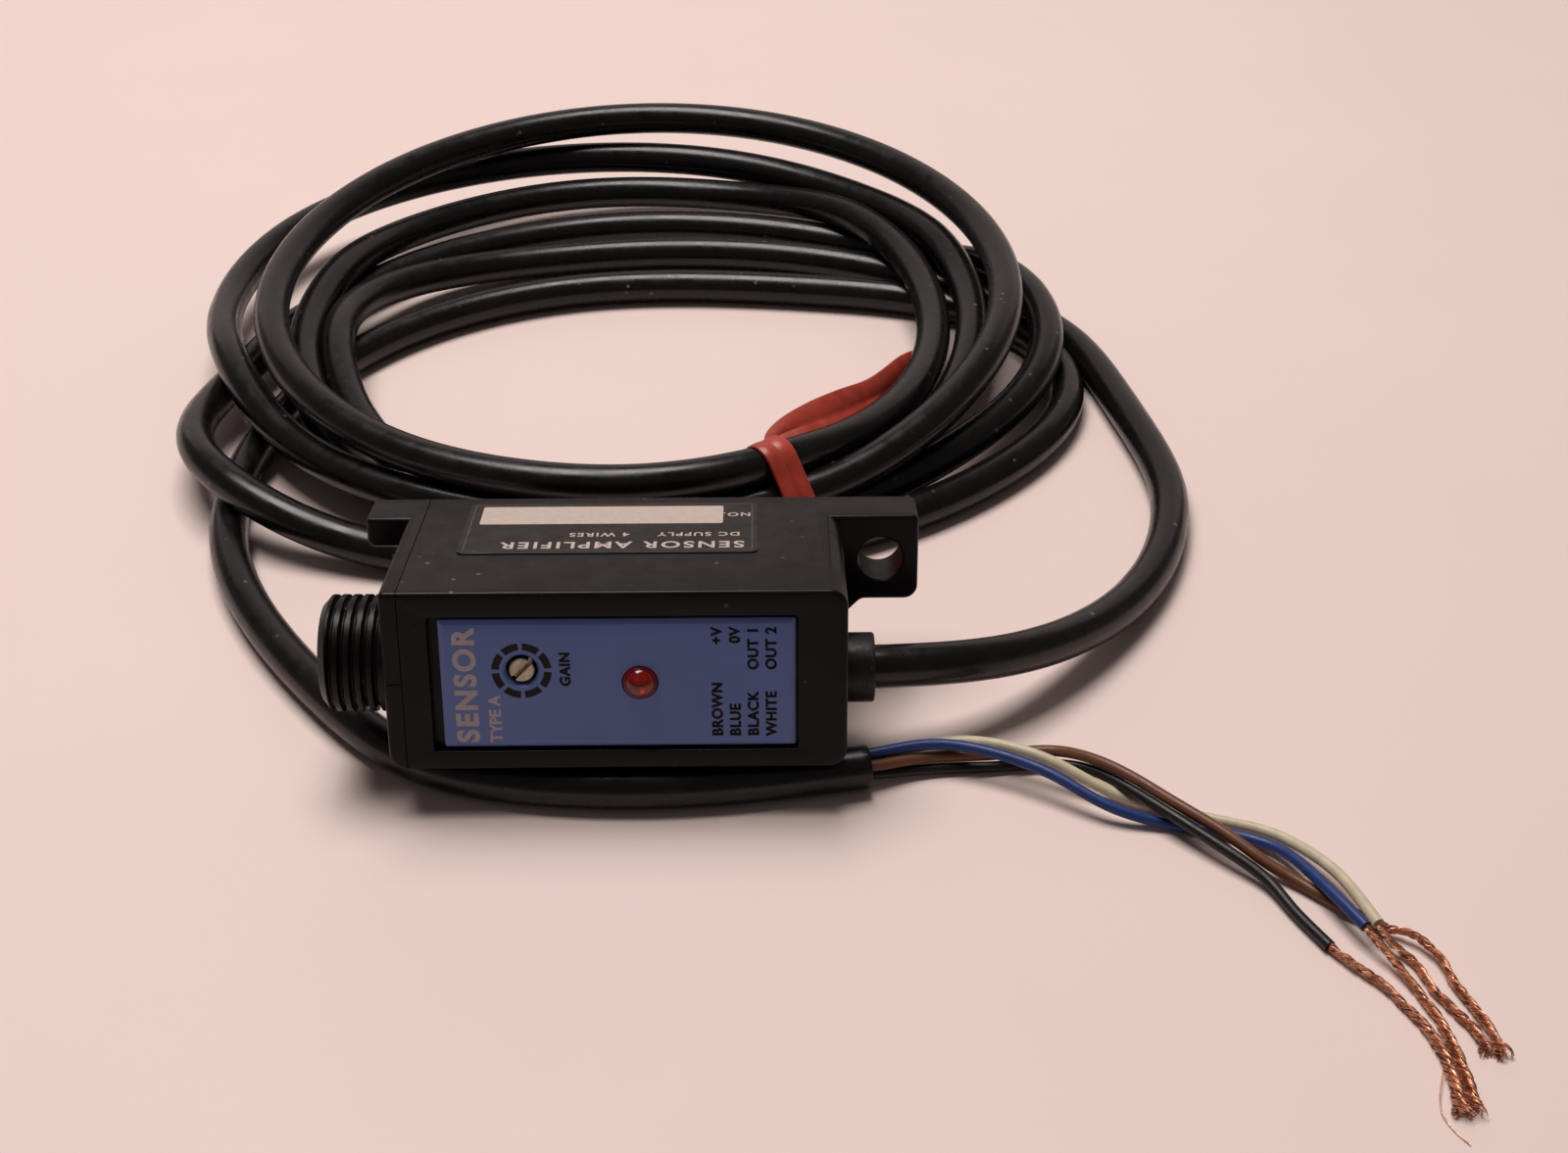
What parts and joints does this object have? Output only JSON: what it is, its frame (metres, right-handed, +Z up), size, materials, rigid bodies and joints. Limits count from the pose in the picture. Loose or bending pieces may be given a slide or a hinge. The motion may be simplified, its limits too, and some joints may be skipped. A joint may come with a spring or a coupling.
{
  "type": "fibre photoelectric sensor amplifier",
  "caption": "Small rectangular sensor amplifier with a threaded fibre port, a trimmer, a lamp, a drilled mounting ear and a coiled multi-core lead.",
  "frame": {"origin": "centre of the leaning case's bounding box, on the surface it stands on", "axes": "+X along the case from the fibre port to the lead, +Y from the front panel to the mounting face, +Z up; the case leans back 12 degrees on its own lead, as it stands in use on a bench"},
  "size_m": [0.1493, 0.2123, 0.0266],
  "materials": {
    "case_plastic": "glass-filled moulded plastic, satin with a fine grain",
    "label_blue": "satin blue plate with dark print",
    "label_black": "black film label with a white field",
    "lamp_red": "clear red tinted resin",
    "rotor_brass": "nickel-plated brass, satin",
    "contact_bronze": "spring bronze",
    "ceramic": "white alumina with a printed track",
    "trimmer_blue": "moulded blue thermoset",
    "board_green": "solder-masked glass laminate",
    "chip_black": "moulded epoxy with tinned legs",
    "tin_steel": "tinned sheet steel",
    "capacitor_sleeve": "shrink sleeve over an aluminium can",
    "chip_ceramic": "fired ceramic",
    "diode_glass": "tinted glass",
    "sensor_tint": "dark tinted resin",
    "holder_black": "black moulded plastic",
    "grip_rubber": "soft black rubber",
    "gland_rubber": "moulded black elastomer",
    "lead_jacket": "black PVC jacket, satin",
    "tie_red": "soft red vinyl over a wire",
    "core_brown": "brown PVC",
    "core_blue": "blue PVC",
    "core_black": "black PVC",
    "core_white": "off-white PVC",
    "copper": "bare twisted copper strands"
  },
  "bodies": {
    "housing": {"case_shell": "case_plastic", "nose_cap": "case_plastic", "fibre_grip": "grip_rubber", "fibre_receptacle": "holder_black", "optics_holder": "holder_black", "emitter_led": "lamp_red", "photodiode": "sensor_tint", "shield_can": "tin_steel", "front_board": "board_green", "main_board": "board_green", "board_link": "tin_steel", "trimmer_housing": "trimmer_blue", "trimmer_track": "ceramic", "indicator_lamp": "lamp_red", "indicator_leads": "tin_steel", "amplifier_ic": "chip_black", "driver_ic": "chip_black", "output_transistors": "chip_black", "electrolytic_capacitor": "capacitor_sleeve", "chip_capacitors": "chip_ceramic", "chip_resistors": "chip_black", "surge_diode": "diode_glass", "front_label": "label_blue", "top_label": "label_black", "cable_gland": "gland_rubber", "cable_clamp": "tin_steel", "inner_wire_brown": "core_brown", "inner_wire_blue": "core_blue", "inner_wire_black": "core_black", "inner_wire_white": "core_white", "cable_lead": "lead_jacket", "cable_coil": "lead_jacket", "coil_tie": "tie_red", "cable_tail": "lead_jacket", "wire_brown": "core_brown", "wire_blue": "core_blue", "wire_black": "core_black", "wire_white": "core_white", "copper_brown": "copper", "copper_blue": "copper", "copper_black": "copper", "copper_white": "copper"},
    "trimmer": {"trimmer_rotor": "rotor_brass", "trimmer_wiper": "contact_bronze"}
  },
  "joints": [
    {"name": "sensitivity_trimmer", "type": "hinge", "parent": "housing", "child": "trimmer", "pos_m": [-0.01085, -0.01294, 0.01736], "axis": [0, -0.9781, 0.2079], "range_deg": [-135, 135]}
  ]
}
